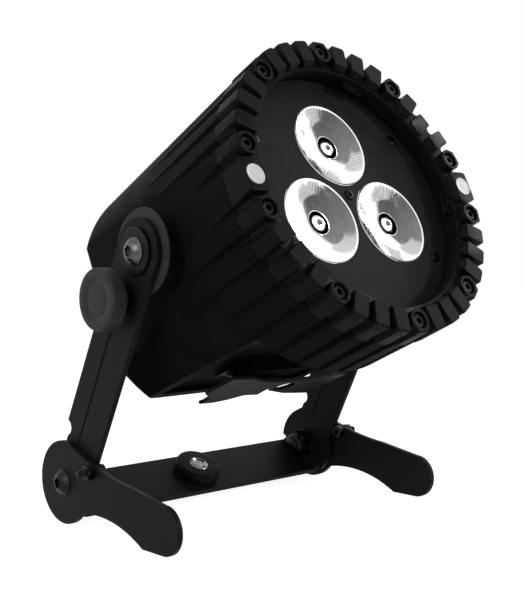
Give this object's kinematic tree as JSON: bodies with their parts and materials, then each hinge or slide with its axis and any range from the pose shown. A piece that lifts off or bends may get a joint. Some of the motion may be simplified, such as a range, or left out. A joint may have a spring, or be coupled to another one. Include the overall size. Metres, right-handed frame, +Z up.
{
  "type": "led par can",
  "caption": "Battery stage light: round ribbed housing with a toothed bezel over recessed lenses, tilting in a floor yoke with folding feet.",
  "frame": {"origin": "on the floor, in the middle of the object's outline seen from above", "axes": "+Z up, the beam points towards -Y and upwards, +X to the right seen from the front"},
  "size_m": [0.2062, 0.2007, 0.249],
  "materials": {
    "cast_body": "die-cast aluminium with a fine black powder coat",
    "bezel_plastic": "black moulded plastic, satin",
    "black_steel": "steel plate with a satin black powder coat",
    "dark_screws": "blackened steel",
    "bright_steel": "zinc plated steel, bright",
    "black_plastic": "black moulded plastic",
    "black_rubber": "black rubber",
    "lens_acrylic": "clear moulded acrylic with a frosted face",
    "marker_white": "white diffusing plastic",
    "bare_alloy": "bare extruded aluminium",
    "board": "green circuit board",
    "emitter": "light emitting chips under silicone domes",
    "cells": "steel cells in blue sleeves",
    "display": "dark display window"
  },
  "bodies": {
    "yoke": {"yoke": "black_steel", "centre_bush": "black_steel", "foot_bolt_left": "bright_steel", "foot_bolt_right": "bright_steel", "foot_nut_left": "bright_steel", "foot_nut_right": "bright_steel"},
    "head": {"housing": "cast_body", "rear_cover": "cast_body", "rear_cover_screws": "dark_screws", "bezel_gasket": "black_rubber", "bezel_ring": "bezel_plastic", "bezel_screws": "dark_screws", "marker_discs": "marker_white", "filter_clips": "dark_screws", "face_plate": "cast_body", "face_plate_screws": "dark_screws", "lens_top": "lens_acrylic", "lens_left": "lens_acrylic", "lens_right": "lens_acrylic", "led_emitters": "emitter", "led_board": "board", "heat_sink": "bare_alloy", "chassis_posts": "bright_steel", "battery_holder": "black_plastic", "battery_cells": "cells", "driver_board": "board", "control_board": "board", "display_window": "display", "vent_plug": "black_plastic", "port_cover": "black_rubber", "charge_socket": "black_plastic", "safety_bracket": "black_steel", "bracket_screws": "dark_screws", "pivot_spacer_left": "cast_body", "pivot_spacer_right": "cast_body", "friction_disc_left": "black_plastic", "friction_disc_right": "black_plastic", "pivot_washer_left": "dark_screws", "pivot_washer_right": "dark_screws", "pivot_bolt_left": "bright_steel", "pivot_bolt_right": "bright_steel"},
    "foot_left": {"foot_left": "black_steel", "stop_pin_left": "bright_steel", "stop_nut_left": "bright_steel"},
    "foot_right": {"foot_right": "black_steel", "stop_pin_right": "bright_steel", "stop_nut_right": "bright_steel"},
    "lock_knob_left": {"lock_knob_left": "black_plastic"},
    "lock_knob_right": {"lock_knob_right": "black_plastic"},
    "menu_button": {"menu_button": "black_rubber"},
    "down_button": {"down_button": "black_rubber"},
    "up_button": {"up_button": "black_rubber"},
    "enter_button": {"enter_button": "black_rubber"}
  },
  "joints": [
    {"name": "head_tilt", "type": "hinge", "parent": "yoke", "child": "head", "pos_m": [0, 0.00417, 0.14323], "axis": [1, 0, 0], "continuous": true},
    {"name": "foot_left_fold", "type": "hinge", "parent": "yoke", "child": "foot_left", "pos_m": [0, 0.06755, 0.022], "axis": [1, 0, 0], "range_deg": [0, 284.4]},
    {"name": "foot_right_fold", "type": "hinge", "parent": "yoke", "child": "foot_right", "pos_m": [0, 0.06755, 0.022], "axis": [1, 0, 0], "range_deg": [0, 284.4]},
    {"name": "lock_knob_left_turn", "type": "hinge", "parent": "yoke", "child": "lock_knob_left", "pos_m": [0, 0.01836, 0.11996], "axis": [1, 0, 0], "continuous": true},
    {"name": "lock_knob_right_turn", "type": "hinge", "parent": "yoke", "child": "lock_knob_right", "pos_m": [0, 0.01836, 0.11996], "axis": [1, 0, 0], "continuous": true},
    {"name": "menu_button_press", "type": "slide", "parent": "head", "child": "menu_button", "axis": [0, -0.9018, 0.4321], "range_m": [0, 0.001], "stiffness_N_per_m": 500, "springref_m": -0.0005},
    {"name": "down_button_press", "type": "slide", "parent": "head", "child": "down_button", "axis": [0, -0.9018, 0.4321], "range_m": [0, 0.001], "stiffness_N_per_m": 500, "springref_m": -0.0005},
    {"name": "up_button_press", "type": "slide", "parent": "head", "child": "up_button", "axis": [0, -0.9018, 0.4321], "range_m": [0, 0.001], "stiffness_N_per_m": 500, "springref_m": -0.0005},
    {"name": "enter_button_press", "type": "slide", "parent": "head", "child": "enter_button", "axis": [0, -0.9018, 0.4321], "range_m": [0, 0.001], "stiffness_N_per_m": 500, "springref_m": -0.0005}
  ]
}
